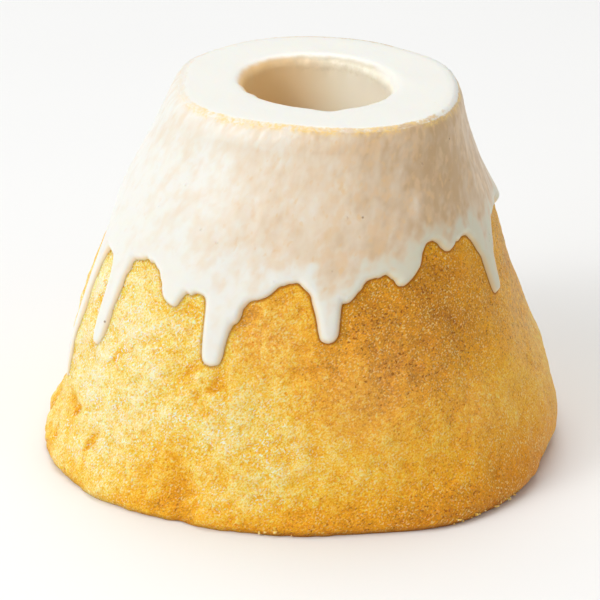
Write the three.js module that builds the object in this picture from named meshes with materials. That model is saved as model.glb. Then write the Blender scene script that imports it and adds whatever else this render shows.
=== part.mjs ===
// A mountain-shaped baumkuchen: a ring cake that tapers to a flat top round a straight hole,
// with white icing over the top that has run down the flank in drips and a little way into the hole.
// Millimetres, +Z up. The origin is on the resting face, under the middle of the cake's outline.
// Angles are counted from the front (-Y) towards the right (+X).

import * as THREE from "three";

// The cake, without its icing
const CAKE_HEIGHT = 86.4;
const TOP_RADIUS = 32.2; // where the flat top turns over into the flank
const FOOT_RADIUS = 61.0; // of the resting face
const HOLE_RADIUS = 18.2;
const HOLE_EDGE = 1.6; // rounding of the hole's upper edge
const LEAN = 3.6; // how far the top stands to the right of the foot
const AXIS_SHIFT = 0.4; // of the foot's middle from the origin, to the right
const HOLE_SHIFT = 3.2; // the hole stands under the middle of the top

// The flank from the top's edge down to the foot, as radius and height
const FLANK = new THREE.SplineCurve([
  new THREE.Vector2(TOP_RADIUS, CAKE_HEIGHT),
  new THREE.Vector2(34.4, 83.6),
  new THREE.Vector2(37.4, 76.0),
  new THREE.Vector2(41.8, 66.0),
  new THREE.Vector2(46.6, 53.5),
  new THREE.Vector2(52.3, 38.0),
  new THREE.Vector2(57.4, 22.0),
  new THREE.Vector2(61.9, 6.5),
  new THREE.Vector2(62.3, 2.4),
  new THREE.Vector2(FOOT_RADIUS, 0),
]);
FLANK.arcLengthDivisions = 800;
const FLANK_LENGTH = FLANK.getLength();

// Slow waves round the body and round the hole: crests in a turn, depth, and the angle of one crest
const BODY_WAVES = [
  { crests: 2, depth: 1.0, at: 40 },
  { crests: 3, depth: 0.7, at: 49 },
  { crests: 4, depth: 0.9, at: 34 },
];
const HOLE_WAVES = [
  { crests: 1, depth: 0.9, at: 148 },
  { crests: 2, depth: 1.1, at: 41 },
];
const HOLE_NOTCH = { at: 9, width: 3.0, depth: 1.5 }; // in the front of the hole

// Where the skin stands out or in: angle, reach from the top's edge, size across and along, height
const SKIN_FORMS = [
  { at: -52, reach: 93, across: 60, along: 7, height: 2.7 }, // the foot runs out at the front left
  { at: -92, reach: 78, across: 42, along: 13, height: -1.9 }, // the left flank falls in above it
  { at: 80, reach: 75, across: 36, along: 13, height: 2.2 }, // the lower right flank bulges
  { at: 68, reach: 93, across: 18, along: 6, height: -2.2 }, // and draws in at the foot
  { at: 44, reach: 91, across: 22, along: 8, height: 1.2 }, // the foot runs out at the front right
  { at: -6, reach: 94, across: 36, along: 6, height: 1.4 }, // and at the front
  { at: 88, reach: 36, across: 30, along: 8, height: 0.8 }, // the right flank stands out below its icing
  { at: -117, reach: 1, across: 17, along: 8, height: 1.8 }, // the top stands out at the back left
  { at: 138, reach: 1, across: 16, along: 8, height: -1.2 }, // and in at the back right
  { at: -29, reach: 85, across: 5.5, along: 11, height: -1.3 }, // a hollow in the foot
];

// Low swellings of the baked skin, below the iced part
const SWELL = { count: 6, depth: 1.1, from: 44, full: 62, fewest: 4, climb: 0.034 };
const GOLDEN_ANGLE = Math.PI * (3 - Math.sqrt(5));

// The icing
const ICING_GAP = 0.36; // between icing and cake
const ICING_THIN = 0.6; // on the upper flank and the hole's wall
const ICING_TOP = 1.2; // on the flat top
const ICING_EDGE = 1.1; // along the valleys of the drip line
const BEAD_HEIGHT = 9; // the icing thickens over this much above the drip line
const EDGE_SLOPE = 0.2; // the drip line's end face leans back by this much
const LINING = { depth: 18, ripple: 2.5, crests: 5 }; // how far it has run down the hole

// Drips: angle, reach of the tip down the flank from the top's edge, half width at half length to
// the left and to the right, bluntness of the tip, icing gathered above it, and the reach of the
// valley up to the next drip. They run once round the cake.
const DRIPS = [
  { at: -78.8, tip: 74, left: 1.6, right: 1.9, blunt: 4, bead: 0.8, valley: 38.6 },
  { at: -62, tip: 59, left: 3.0, right: 3.0, blunt: 6, bead: 1.5, valley: 35.2 },
  { at: -40.4, tip: 42.8, left: 3.8, right: 3.2, blunt: 4, bead: 1.3, valley: 37.4 },
  { at: -25, tip: 55, left: 2.6, right: 4.2, blunt: 4, bead: 1.6, valley: 37.0 },
  { at: -12, tip: 37.4, left: 3.4, right: 3.4, blunt: 4, bead: 1.2, valley: 33.4 },
  { at: 6.4, tip: 47.0, left: 3.6, right: 2.6, blunt: 4.5, bead: 1.7, valley: 34.6 },
  { at: 13.4, tip: 35.6, left: 2.6, right: 3.6, blunt: 3, bead: 1.2, valley: 32.2 },
  { at: 31.8, tip: 33.2, left: 5.0, right: 2.9, blunt: 6, bead: 1.4, valley: 26.2 },
  { at: 43, tip: 30.0, left: 2.6, right: 2.6, blunt: 4, bead: 1.2, valley: 28.4 },
  { at: 60.2, tip: 44.6, left: 2.5, right: 2.5, blunt: 5, bead: 1.5, valley: 29.0 },
  { at: 97, tip: 33.4, left: 6.0, right: 6.0, blunt: 6, bead: 2.0, valley: 28.4 },
  { at: 119, tip: 49.5, left: 2.6, right: 3.6, blunt: 6, bead: 1.5, valley: 32.4 },
  { at: 138, tip: 37.5, left: 4.0, right: 5.0, blunt: 4, bead: 1.4, valley: 30.8 },
  { at: 163, tip: 56.5, left: 3.6, right: 3.2, blunt: 5, bead: 1.6, valley: 35.2 },
  { at: 184, tip: 42.5, left: 3.0, right: 3.6, blunt: 4, bead: 1.2, valley: 34.0 },
  { at: 205, tip: 62.0, left: 2.8, right: 3.6, blunt: 6, bead: 1.5, valley: 36.4 },
  { at: 227, tip: 45.0, left: 5.0, right: 4.2, blunt: 4, bead: 1.4, valley: 33.2 },
  { at: 248, tip: 47.5, left: 2.8, right: 3.4, blunt: 5, bead: 1.4, valley: 28.6 },
];

// How finely the solids are faceted
const CAKE_COLUMNS = 84;
const CAKE_ROW_STEP = 5.2;
const ICING_COLUMNS = 168;
const ANGLE_STEPS = 3600; // in which the drip line is followed to place the icing's columns
const STEEPNESS_WEIGHT = 0.42; // how strongly steep stretches of the drip line draw columns
const RIM_ROWS = [0, 1.3, 2.8, 5.2]; // reaches over the rounded edge of the top
const ICING_ROWS = [0.86, 0.7, 0.5, 0.25]; // shares of the way from the rounded edge to the drip line
const HOLE_EDGE_ROWS = [0, 0.5, 1]; // shares of the hole's rounded edge, from its wall to the top
// Rounding of the drip line: distance back from it, and the share of the thickness there
const EDGE_ROWS = [
  { back: 0, share: 0.45 },
  { back: 0.6, share: 0.86 },
  { back: 1.7, share: 1 },
];

const radians = THREE.MathUtils.degToRad;
const { clamp, euclideanModulo, lerp, smoothstep } = THREE.MathUtils;

// The offset that a set of waves gives at an angle
function waves(list, angle) {
  return list.reduce((sum, w) => sum + w.depth * Math.cos(w.crests * (angle - radians(w.at))), 0);
}

// The difference of two angles, within half a turn either way
function turn(angle, from) {
  const difference = angle - from;
  return difference - 2 * Math.PI * Math.round(difference / (2 * Math.PI));
}

// A smooth hump of height 1 at an angle, fading over a width measured along a circle
function hump(angle, at, width, radius) {
  return Math.exp(-(((turn(angle, radians(at)) * radius) / width) ** 2));
}

// Swellings and single forms of the flank, at an angle and a reach down from the top's edge
function skinRelief(angle, reach) {
  let relief = 0;
  for (let n = 0; n < SWELL.count; n++) {
    const slant = (n % 2 ? 1 : -1) * SWELL.climb * (n + 1) * reach;
    relief += Math.cos((SWELL.fewest + 2 * n) * angle + slant + n * GOLDEN_ANGLE);
  }
  relief *= (SWELL.depth / SWELL.count) * smoothstep(reach, SWELL.from, SWELL.full);
  for (const form of SKIN_FORMS) {
    const along = (reach - form.reach) / form.along;
    relief += form.height * hump(angle, form.at, form.across, FOOT_RADIUS) * Math.exp(-along * along);
  }
  return relief;
}

// A point of the cake's section, turned to an angle: the waves and the lean pass over from the
// hole to the flank across the flat top and the resting face
function place(angle, radius, height, relief = 0) {
  const share = clamp((radius - HOLE_RADIUS) / (TOP_RADIUS - HOLE_RADIUS), 0, 1);
  const flankMiddle = AXIS_SHIFT + LEAN * (height / CAKE_HEIGHT) ** 4;
  const notch = HOLE_NOTCH.depth * hump(angle, HOLE_NOTCH.at, HOLE_NOTCH.width, HOLE_RADIUS);
  const wavy = lerp(waves(HOLE_WAVES, angle) + notch, waves(BODY_WAVES, angle), share);
  const r = radius + wavy + relief;
  const middle = lerp(HOLE_SHIFT, flankMiddle, share);
  return new THREE.Vector3(middle + r * Math.sin(angle), -r * Math.cos(angle), height);
}

// A point on the flank at a reach from the top's edge, lifted off the skin
function flankPoint(angle, reach, lift = 0) {
  const along = clamp(reach / FLANK_LENGTH, 0, 1);
  const p = FLANK.getPointAt(along);
  const t = FLANK.getTangentAt(along);
  return place(angle, p.x - lift * t.y, p.y + lift * t.x, skinRelief(angle, reach));
}

// A point on the rounded upper edge of the hole, from the wall (0) to the flat top (1)
function holeEdgePoint(angle, share, lift = 0) {
  const bend = share * (Math.PI / 2);
  const radius = HOLE_RADIUS + HOLE_EDGE - (HOLE_EDGE + lift) * Math.cos(bend);
  return place(angle, radius, CAKE_HEIGHT - HOLE_EDGE + (HOLE_EDGE + lift) * Math.sin(bend));
}

// A ring closed on itself, from one closed outline at each angle. The lathe gives the faces,
// and each of its points is then moved to its place on the outline.
function ringGeometry(outlines) {
  const rows = outlines[0].length;
  const profile = [...outlines[0], outlines[0][0]].map((p) => new THREE.Vector2(p.length(), p.z));
  const geometry = new THREE.LatheGeometry(profile, outlines.length);
  const position = geometry.getAttribute("position");
  for (let column = 0; column <= outlines.length; column++) {
    const outline = outlines[column % outlines.length];
    for (let row = 0; row <= rows; row++) {
      const p = outline[row % rows];
      position.setXYZ(column * (rows + 1) + row, p.x, p.y, p.z);
    }
  }
  geometry.computeVertexNormals();
  return geometry;
}

// The cake's outline at an angle: up the flank, in over the top, down the hole and out below
function cakeOutline(angle) {
  const steps = Math.round((FLANK_LENGTH - RIM_ROWS.at(-1)) / CAKE_ROW_STEP);
  const outline = [];
  for (let i = steps; i > 0; i--) {
    outline.push(flankPoint(angle, lerp(RIM_ROWS.at(-1), FLANK_LENGTH, i / steps)));
  }
  outline.push(...RIM_ROWS.toReversed().map((reach) => flankPoint(angle, reach)));
  outline.push(...HOLE_EDGE_ROWS.toReversed().map((share) => holeEdgePoint(angle, share)));
  outline.push(place(angle, HOLE_RADIUS, CAKE_HEIGHT / 2));
  outline.push(place(angle, HOLE_RADIUS, 0));
  outline.push(place(angle, (HOLE_RADIUS + FOOT_RADIUS) / 2, 0));
  return outline;
}

const DRIPS_BEGIN = 0.4; // share of the flank above the drips
const DRIP_RADIUS = FLANK.getPointAt(DRIPS_BEGIN).x;

// The valleys stand half way between the drips
const VALLEYS = DRIPS.map((drip, i) => {
  const next = DRIPS[(i + 1) % DRIPS.length];
  const half = turn(radians(next.at), radians(drip.at)) / 2;
  return { at: radians(drip.at) + half, level: drip.valley };
});

// The level of the valleys at an angle, eased from each valley to the next across its drip
function valleyLevel(angle) {
  const past = VALLEYS.map((valley) => euclideanModulo(angle - valley.at, 2 * Math.PI));
  const i = past.indexOf(Math.min(...past));
  const right = VALLEYS[(i + 1) % VALLEYS.length];
  const span = euclideanModulo(right.at - VALLEYS[i].at, 2 * Math.PI);
  return lerp(VALLEYS[i].level, right.level, smoothstep(past[i], 0, span));
}

// The share of a drip's length that it has at an angle: 1 down its middle, 1/2 at its half width
function dripShare(drip, angle) {
  const arc = turn(angle, radians(drip.at)) * DRIP_RADIUS;
  const across = arc / (arc < 0 ? drip.left : drip.right);
  return 1 / (1 + Math.abs(across) ** drip.blunt);
}

// How far down the flank the icing reaches: valleys, with a round-ended tongue for each drip
function dripLine(angle) {
  const level = valleyLevel(angle);
  return DRIPS.reduce((reach, drip) => {
    return reach + (drip.tip - valleyLevel(radians(drip.at))) * dripShare(drip, angle);
  }, level);
}

// How thick the icing has gathered just above the drip line
function beadThickness(angle) {
  return DRIPS.reduce((sum, drip) => sum + (drip.bead - ICING_EDGE) * dripShare(drip, angle), ICING_EDGE);
}

// How far the icing has run down the hole
function liningDepth(angle) {
  return LINING.depth + LINING.ripple * Math.cos(LINING.crests * angle) * Math.cos(2 * angle);
}

// Angles for the icing's columns, closer together where the drip line is steep
function icingAngles() {
  const step = (2 * Math.PI) / ANGLE_STEPS;
  const total = [0];
  for (let i = 0; i < ANGLE_STEPS; i++) {
    const fall = Math.abs(dripLine((i + 1) * step) - dripLine(i * step));
    total.push(total[i] + DRIP_RADIUS * step + STEEPNESS_WEIGHT * fall);
  }
  const angles = [];
  for (let column = 0, i = 0; column < ICING_COLUMNS; column++) {
    const want = (total[ANGLE_STEPS] * column) / ICING_COLUMNS;
    while (total[i + 1] <= want) i++;
    angles.push((i + (want - total[i]) / (total[i + 1] - total[i])) * step);
  }
  return angles;
}

// The icing's outline at an angle: its outer face from the drip line up, over the top and down
// the hole, then its inner face back
function icingOutline(angle) {
  const edge = dripLine(angle);
  const bead = beadThickness(angle);
  const rim = RIM_ROWS.at(-1);
  const wallLift = ICING_GAP + ICING_THIN;
  const topLift = ICING_GAP + ICING_TOP;
  const bottom = CAKE_HEIGHT - HOLE_EDGE - liningDepth(angle);
  const flankLift = (reach) => {
    return ICING_GAP + lerp(ICING_THIN, bead, smoothstep(reach, edge - BEAD_HEIGHT, edge));
  };
  const rimLift = (reach) => lerp(topLift, wallLift, reach / rim);
  const holeEdgeLift = (share) => lerp(wallLift, topLift, share);
  const flankReaches = ICING_ROWS.map((share) => lerp(rim, edge - EDGE_ROWS.at(-1).back, share));
  const outer = [
    ...EDGE_ROWS.map((e) => flankPoint(angle, edge - e.back, flankLift(edge - e.back) * e.share)),
    ...flankReaches.map((reach) => flankPoint(angle, reach, flankLift(reach))),
    ...RIM_ROWS.toReversed().map((reach) => flankPoint(angle, reach, rimLift(reach))),
    ...HOLE_EDGE_ROWS.toReversed().map((share) => holeEdgePoint(angle, share, holeEdgeLift(share))),
    place(angle, HOLE_RADIUS - wallLift, bottom),
  ];
  const inner = [
    place(angle, HOLE_RADIUS - ICING_GAP, bottom),
    ...HOLE_EDGE_ROWS.map((share) => holeEdgePoint(angle, share, ICING_GAP)),
    ...RIM_ROWS.map((reach) => flankPoint(angle, reach, ICING_GAP)),
    ...flankReaches.toReversed().map((reach) => flankPoint(angle, reach, ICING_GAP)),
    flankPoint(angle, edge - EDGE_SLOPE, ICING_GAP),
  ];
  return [...outer, ...inner];
}

function named(name, geometry, material) {
  const mesh = new THREE.Mesh(geometry, material);
  mesh.name = name;
  return mesh;
}

const crust = new THREE.MeshStandardMaterial({ color: 0xe0a545, roughness: 0.7, metalness: 0 });
const sugar = new THREE.MeshStandardMaterial({ color: 0xf4efe2, roughness: 0.4, metalness: 0 });

const cakeAngles = Array.from({ length: CAKE_COLUMNS }, (_, i) => (i / CAKE_COLUMNS) * 2 * Math.PI);

const baumkuchen = new THREE.Group();
baumkuchen.add(named("cake", ringGeometry(cakeAngles.map(cakeOutline)), crust));
baumkuchen.add(named("icing", ringGeometry(icingAngles().map(icingOutline)), sugar));

export default baumkuchen;
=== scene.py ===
import math

import bpy
import numpy as np
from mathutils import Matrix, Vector


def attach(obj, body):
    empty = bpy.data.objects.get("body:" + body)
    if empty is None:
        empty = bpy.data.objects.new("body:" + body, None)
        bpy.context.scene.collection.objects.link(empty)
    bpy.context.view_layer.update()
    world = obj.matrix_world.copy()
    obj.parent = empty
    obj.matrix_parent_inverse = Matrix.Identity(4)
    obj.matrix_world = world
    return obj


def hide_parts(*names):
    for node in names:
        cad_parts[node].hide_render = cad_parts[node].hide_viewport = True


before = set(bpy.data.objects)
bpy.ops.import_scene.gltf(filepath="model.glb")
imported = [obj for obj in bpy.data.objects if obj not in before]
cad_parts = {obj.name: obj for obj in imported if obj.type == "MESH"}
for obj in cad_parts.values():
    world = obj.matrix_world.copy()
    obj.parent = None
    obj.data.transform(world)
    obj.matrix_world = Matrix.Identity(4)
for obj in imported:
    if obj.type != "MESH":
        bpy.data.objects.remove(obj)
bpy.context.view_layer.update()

MM = 0.001
TAU = 2 * math.pi

# The cake, without its icing
CAKE_HEIGHT = 86.4
TOP_RADIUS = 32.2
FOOT_RADIUS = 61.0
HOLE_RADIUS = 18.2
HOLE_EDGE = 1.6
LEAN = 3.6
AXIS_SHIFT = 0.4
HOLE_SHIFT = 3.2
FLANK_POINTS = (
    (TOP_RADIUS, CAKE_HEIGHT),
    (34.4, 83.6),
    (37.4, 76.0),
    (41.8, 66.0),
    (46.6, 53.5),
    (52.3, 38.0),
    (57.4, 22.0),
    (61.9, 6.5),
    (62.3, 2.4),
    (FOOT_RADIUS, 0.0),
)

# Slow waves: crests in a turn, depth, angle of one crest
BODY_WAVES = ((2, 1.0, 40), (3, 0.7, 49), (4, 0.9, 34))
HOLE_WAVES = ((1, 0.9, 148), (2, 1.1, 41))
HOLE_NOTCH = {"at": 9, "width": 3.0, "depth": 1.5}

# Where the skin stands out or in: angle, reach, size across, size along, height
SKIN_FORMS = (
    (-52, 93, 60, 7, 2.7),  # the foot runs out at the front left
    (-92, 78, 42, 13, -1.9),  # the left flank falls in above it
    (80, 75, 36, 13, 2.2),  # the lower right flank bulges
    (68, 93, 18, 6, -2.2),  # and draws in at the foot
    (44, 91, 22, 8, 1.2),  # the foot runs out at the front right
    (-6, 94, 36, 6, 1.4),  # and at the front
    (88, 36, 30, 8, 0.8),  # the right flank stands out below its icing
    (-117, 1, 17, 8, 1.8),  # the top stands out at the back left
    (138, 1, 16, 8, -1.2),  # and in at the back right
    (-29, 85, 5.5, 11, -1.3),  # a hollow in the foot
)
SWELL = {"count": 6, "depth": 1.1, "from": 44, "full": 62, "fewest": 4, "climb": 0.034}
GOLDEN_ANGLE = math.pi * (3 - math.sqrt(5))
GOLDEN_SHARE = (math.sqrt(5) - 1) / 2

# Fine relief of the baked skin: size of its lumps and how high they stand
SLOW_LUMPS = ((9.0, 0.16),)
QUICK_LUMPS = ((4.6, 0.30), (2.6, 0.28), (1.6, 0.20))
LUMPS_SUNK = 0.3  # so that their tops, not their middles, lie in the cake's outline
LUMPIEST = {"at": -60, "more": 0.6}
FOLDS = {"size": 2.8, "drawn": 0.36, "slant": 0.75, "depth": 0.55}  # short slanting dips in it
FOLD_NOISE = {"none": -0.25, "full": -0.62}  # a fold is where its noise is this low
FOLD_PATCHES = {"size": 4 * FOLDS["size"], "edge": 0.3}  # and where a slower noise is high
FOLD_SIDE = {"none": 0.2, "full": 0.8}  # and near LUMPIEST, by the cosine of the way round to it
DENTS = {"count": 80, "narrowest": 0.8, "widest": 2.2, "depth": 0.5, "from": 36, "above_foot": 4}
SINGLE_DENTS = (
    (-68, 75, 3.2, 1.5, -1.0),  # as in SKIN_FORMS: a nick in the left flank
    (-27.5, 92, 1.8, 3.5, -1.2),  # and one in the foot
)
CALM_ZONES = ((-92, 46, 16, 24, 0.65),)  # where the relief is lower, the same way
BY_ICING = {"left": 0.3, "from": -2.5, "to": 0.5}  # share of the relief left there, eased over this
BY_FOOT = {"left": 0.4, "over": 2.5}
HOLE_WALL = {"below_edge": 6, "above_foot": 0.9, "bump": 0.18, "bump_size": 5.0}
UNDERSIDE = {"from_hole": 0.9, "from_foot": 0.8}
RINGS = {"step": 3.6, "depth": 0.22, "none": 0.5, "full": 4}  # baked layers that show faintly underneath

# How far the skin is baked, from 0 (pale) over 1 (gold) and 2 (amber) to 3 (brown): its middle value,
# that of the other faces, and where it is more or less, as angle, reach, size across, size along, amount
BAKE_MIDDLE = 0.85
BAKE_HOLE = 1.5
BAKE_BELOW = 2.0
BAKE_LOOSE = 0.5  # of loose crumbs
BAKE_ZONES = (
    (26, 42, 36, 26, 2.3),
    (-54, 62, 30, 24, -0.8),
    (-12, 68, 18, 12, -0.5),
    (-11, 45, 10, 10, 0.35),
    (45, 40, 14, 14, 0.5),
    (24, 60, 16, 12, 0.22),
    (56, 80, 30, 20, 0.45),
    (-31, 84, 5.5, 7, 0.8),
    (-68, 76, 5, 4, 0.9),
    (19, 96, 63, 11, 2.0),
    (48, 92, 24, 12, 0.9),
    (74, 70, 20, 16, 0.2),
    (62, 88, 18, 10, 0.6),
    (54, 60, 9, 9, -0.1),
    (80, 42, 14, 20, 1.6),
    (-72, 52, 9, 16, -0.35),
    (-35, 51, 8, 8, 0.4),
    (-18, 77.5, 8, 6, 0.55),
    (-48.5, 54.5, 6, 5, -0.65),
    (-55, 64, 5, 5, 0.1),
    (-47, 91, 9, 6, -0.6),
    (-67, 87, 7, 6, -0.5),
    (-25, 72, 6, 4, -0.5),
    (-15, 88, 9, 6, -0.45),
    (-1.3, 43, 5, 8, -0.45),
    (-7, 55, 5, 5, -0.3),
    (-31, 62, 5, 5, 0.3),
    (-20, 56, 6, 5, 0.3),
    (29.5, 50, 7, 6, -0.4),
    (58, 46, 7, 7, 0.7),
    (67, 58, 8, 8, 0.45),
    (10, 76, 6, 5, 0.25),
    (12, 61, 14, 11, -0.3),
    (26, 77, 6, 5, 0.3),
    (-53, 45, 5, 5, -0.35),
    (-12, 82, 6, 4, -0.35),
    (-6, 87, 5, 5, -0.25),
    (100, 50, 26, 20, 0.9),
    (172, 44, 38, 22, 1.9),
    (148, 68, 22, 12, -0.5),
    (-130, 50, 26, 18, 1.1),
    (-150, 70, 24, 12, -0.5),
    (130, 95, 60, 11, 2.0),
    (-130, 95, 60, 10, 1.8),
)
# Where it is toasted redder, and where dry, floury crumb and a painted grazing sheen dull it: as above
TOAST_ZONES = (
    (62, 86, 24, 12, 0.45),
    (50, 34, 12, 10, 0.2),
    (30, 95, 40, 7, 0.2),
    (150, 92, 60, 8, 0.3),
)
DUST_AND_SHEEN_ZONES = (
    (82, 58, 24, 30, 0.24),
    (24, 55, 16, 16, 0.08),
    (12, 61, 14, 11, 0.12),
    (43, 67, 9, 8, 0.12),
    (-11, 47, 12, 10, 0.16),
    (150, 60, 40, 24, 0.12),
)
BAKE_DRIFT = ((15.0, 0.3), (6.0, 0.14))  # slow changes all over: size, amount
FOOT_SHADE = {"from": 1.8, "full": 0.2}  # height above the ground of the dark line under the foot, a painted shade
FOOT_SHADE_BELOW = 0.5  # its share on the underside, painted shade too
FAR_FROM_ICING = 9  # stands for the distance from the icing on faces that it doesn't come near

# The icing
ICING_GAP = 0.36  # above the crust
ICING_THIN = 0.6  # thickness high on the flank, and below on the top and at the drip line
ICING_TOP = 1.2
ICING_EDGE = 0.7
BEAD_FROM = 2  # the thicker bead along the drip line goes from here inwards to its height
BEAD_HEIGHT = 9
EDGE_WIDTH = {"least": 1.1, "more": 0.6}  # of the rounded edge: more of it where the coat is thick
RIPPLES = ((0.09, 0.3, 3.2), (0.08, 0.6, 6.5))  # height, how drawn out down the flank, size
RIPPLES_IN = {"none": 0.3, "full": 2.5}  # distance from the drip line
ICING_SINK = 0.45  # its edges and its hidden face lie this deep in the crust
ICING_DEEP = 1.2  # and the hidden face on the flank this deep
LINING = {"depth": 18, "ripple": 2.5, "crests": 5, "edge": 0.85}  # its edge rounds off from this share
LINING_TONE = {"lip": 0.4, "wall": 0.3}  # shares of the hole's edge and of the lining where its tone is full
HOLE_REACH = (-20, -40)  # stands for the reach on the hole's edge and in the hole
RIM_REACH = 5.2  # the top's coat thins out over this reach
RIM_CRUMBS = {"size": 1.5, "wide": 4.0, "wide_share": 0.6, "height": 0.1, "none": 4.0, "full": 0.9}
TOP_WAVES = {"size": 8.0, "height": 0.1, "from_edge": 3}
HOLE_NICKS = {"size": 2.4, "depth": 0.36, "full": 0.5}  # small nicks of the hole's edge, then single chips
HOLE_CHIPS = ((-69, 1.1, 0.5), (-60, 1.0, -0.4), (-52, 0.9, 0.3), (30, 1.2, 0.3))  # angle, width, depth
THIN_SHADED_SIDE = {"turned": 6, "none": -1.05, "full": 0.95}  # the icing thins round to the right, and is painted in shade there
FRONT = 20  # angle of the side where most crumb shows along the top's edge
CLOUDS = {"slant": 0.005, "length": 1.2}  # turn a millimetre down, and how drawn out they are
DRIPS_BEGIN = 0.4

# Where the icing on the flank is thinner (or thicker): as in SKIN_FORMS, with the amount last
THIN_ZONES = (
    (-20, 10, 9, 9, 0.12),
    (-17, 23, 11, 7, 0.24),
    (-34, 18, 10, 10, 0.08),
    (5.5, 8, 9, 9, -0.16),
    (-1, 20, 8, 8, -0.05),
    (33.5, 18, 3, 3, -0.45),
)

# Drips: angle, reach of the tip, half width to the left and to the right, bluntness, icing gathered
# there, and the reach of the valley up to the next drip
DRIPS = np.array(
    (
        (-78.2, 74, 1.8, 1.8, 5, 0.2, 38.6),
        (-62, 59, 2.9, 2.8, 7, 0.6, 35.2),
        (-40.2, 43.2, 4.0, 3.4, 7, 0.6, 39.6),
        (-24.7, 55.4, 3.1, 3.5, 10, 0.9, 39.0),
        (-21, 45.2, 2.0, 3.3, 4, 0.7, 38.6),
        (-11.5, 38.2, 3.2, 2.4, 6, 0.8, 34.4),
        (4.5, 41.2, 3.0, 3.4, 4, 0.7, 34.4),
        (6.4, 47.6, 3.2, 2.8, 9, 1.0, 34.4),
        (11.2, 38.6, 3.2, 4.6, 2.4, 0.8, 32.3),
        (29.5, 34.8, 4.6, 4.7, 5, 1.1, 26.2),
        (43, 30.4, 3.1, 3.9, 2.4, 1.0, 28.4),
        (61.2, 45.4, 2.8, 2.6, 7, 1.0, 29.4),
        (61.4, 36.8, 5.3, 6.0, 6, 0.7, 30.2),
        (97, 33.4, 6.0, 6.0, 6, 1.7, 28.4),
        (119, 49.5, 2.6, 3.6, 6, 1.5, 32.4),
        (138, 37.5, 4.0, 5.0, 4, 1.4, 30.8),
        (163, 56.5, 3.6, 3.2, 5, 1.6, 35.2),
        (184, 42.5, 3.0, 3.6, 4, 1.2, 34.0),
        (205, 62.0, 2.8, 3.6, 6, 1.5, 36.4),
        (227, 45.0, 5.0, 4.2, 4, 1.4, 33.2),
        (248, 47.5, 2.8, 3.4, 5, 1.4, 28.6),
    )
)

# The round tip, in half widths of its drip, and the most of its drip's length that it takes up
DRIP_CAP = {"width": 0.85, "height": 0.9, "most": 0.35}
DRIP_SWELL = 0.75  # width of the thicker middle of a drip, in its whole width

# Small wavers of the drips' sides and of the line between them: depth, crests in a turn, start
SIDE_WAVERS = ((0.10, 61, 0), (0.07, 103, 1), (0.05, 167, 2))
LINE_WAVERS = ((0.18, 53, 0), (0.14, 87, 1), (0.12, 131, 2))

# Thicker spots in the icing: angle, reach, size, height
BLOBS = (
    (33.5, 18, 1.7, 0.4),
    (64, 17, 2.0, 0.25),
    (-6, 27, 2.4, 0.2),
    (-48, 22, 2.6, 0.2),
    (130, 18, 1.8, 0.3),
    (-150, 20, 2.2, 0.25),
)

# Where loose crumbs lie along the foot: angle and how many; then their spread in degrees and sizes
CRUMB_HEAPS = ((36, 7), (47, 8), (-6, 4), (150, 8), (-125, 6))
CRUMB = {"spread": 9, "least": 0.22, "more": 0.34, "out": 0.1}
CRUMB_NOISE = {"height": 0.5, "size": 0.9, "apart": 9.0}
CRUMB_WIDE = {"middle": 1.1, "change": 0.5, "step": 3}  # how they are stretched across and upwards
CRUMB_TALL = {"middle": 0.7, "change": 0.2, "step": 7}
CRUMB_HEIGHT = {"least": 0.6, "more": 1.6, "ground": 0.02}  # above the foot's edge, along the flank
CRUMB_SIDES = 8
CRUMB_ROWS = 4
SIZE_SHARE = 0.7548777  # steps that spread sizes and heights evenly, as GOLDEN_SHARE does
HEIGHT_SHARE = 0.5698403

# Random values along each side of a relief's table, after which it repeats, and where each one starts
LATTICE = 64
SEED = {
    "slow_lumps": 1,
    "quick_lumps": 5,
    "folds": 11,
    "fold_patches": 12,
    "hole_wall": 21,
    "bake_drift": 31,
    "ripples": 41,
    "top_waves": 43,
    "rim_crumbs": 44,
    "wide_rim_crumbs": 45,
    "hole_nicks": 46,
    "loose_crumbs": 51,
}

# How finely the pieces are meshed: numbers of columns and rows, or the rows' reaches and shares
CAKE_COLUMNS = 540
CAKE_FLANK_ROWS = 134
CAKE_FINE_TO = 24  # the reach up to which the flank has all its rows, below the icing
CAKE_COVERED_ROWS = 6
CAKE_RIM_ROWS = (RIM_REACH, 2.8, 1.3, 0.0)
CAKE_WALL_ROWS = 11
CAKE_UNDER_ROWS = 22
ICING_COLUMNS = 1260
ICING_FLANK_ROWS = 31
ICING_RIM_ROWS = (4.6, 4.0, 3.4, 2.9, 2.4, 2.0, 1.6, 1.2, 0.9, 0.6, 0.3, 0.0)
ICING_TOP_ROWS = 8
ICING_HOLE_ROWS = 8
ICING_LINING_ROWS = (0.1, 0.22, 0.36, 0.5, 0.65, 0.8, 0.92, 1.0)
ICING_HIDDEN_LINING = 0.5  # share of the lining that the hidden face goes down
ICING_HIDDEN_RIM = (0.0, 2.0, RIM_REACH)
ICING_HIDDEN_ROWS = (0.3, 0.6, 0.85, 0.97)
STEEPNESS_WEIGHT = 0.3
LINE_STEPS = 3600  # straight steps of the drip line that distances are measured to
LINE_WINDOW = 130  # of those steps looked at on either side

# The camera: how far off, how high above the level, and where it looks
CAMERA_DISTANCE = 900
CAMERA_ELEVATION = 22.2
CAMERA_HEIGHT_OF_ORBIT = 44
CAMERA_AIM_HEIGHT = 32.394
CAMERA_SIDE = -0.4
FOCAL_PIXELS = 3771.0
FRAME_PIXELS = 600
SENSOR_WIDTH = 36
CAMERA_SEES = (10, 20000)  # nearest and farthest

# The light: strength of the white surround, then each lamp's name, place, size and watts
SKY_STRENGTH = 0.41
LAMPS = (
    ("window_left", (-850, -575, 850), 900, 6.5),
    ("window_middle", (-850, -575, 850), 300, 2.8),
    ("overhead", (0, 480, 1300), 1000, 9.5),
    ("fill_right", (900, -700, 300), 700, 1.3),
)


# Shape functions

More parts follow.
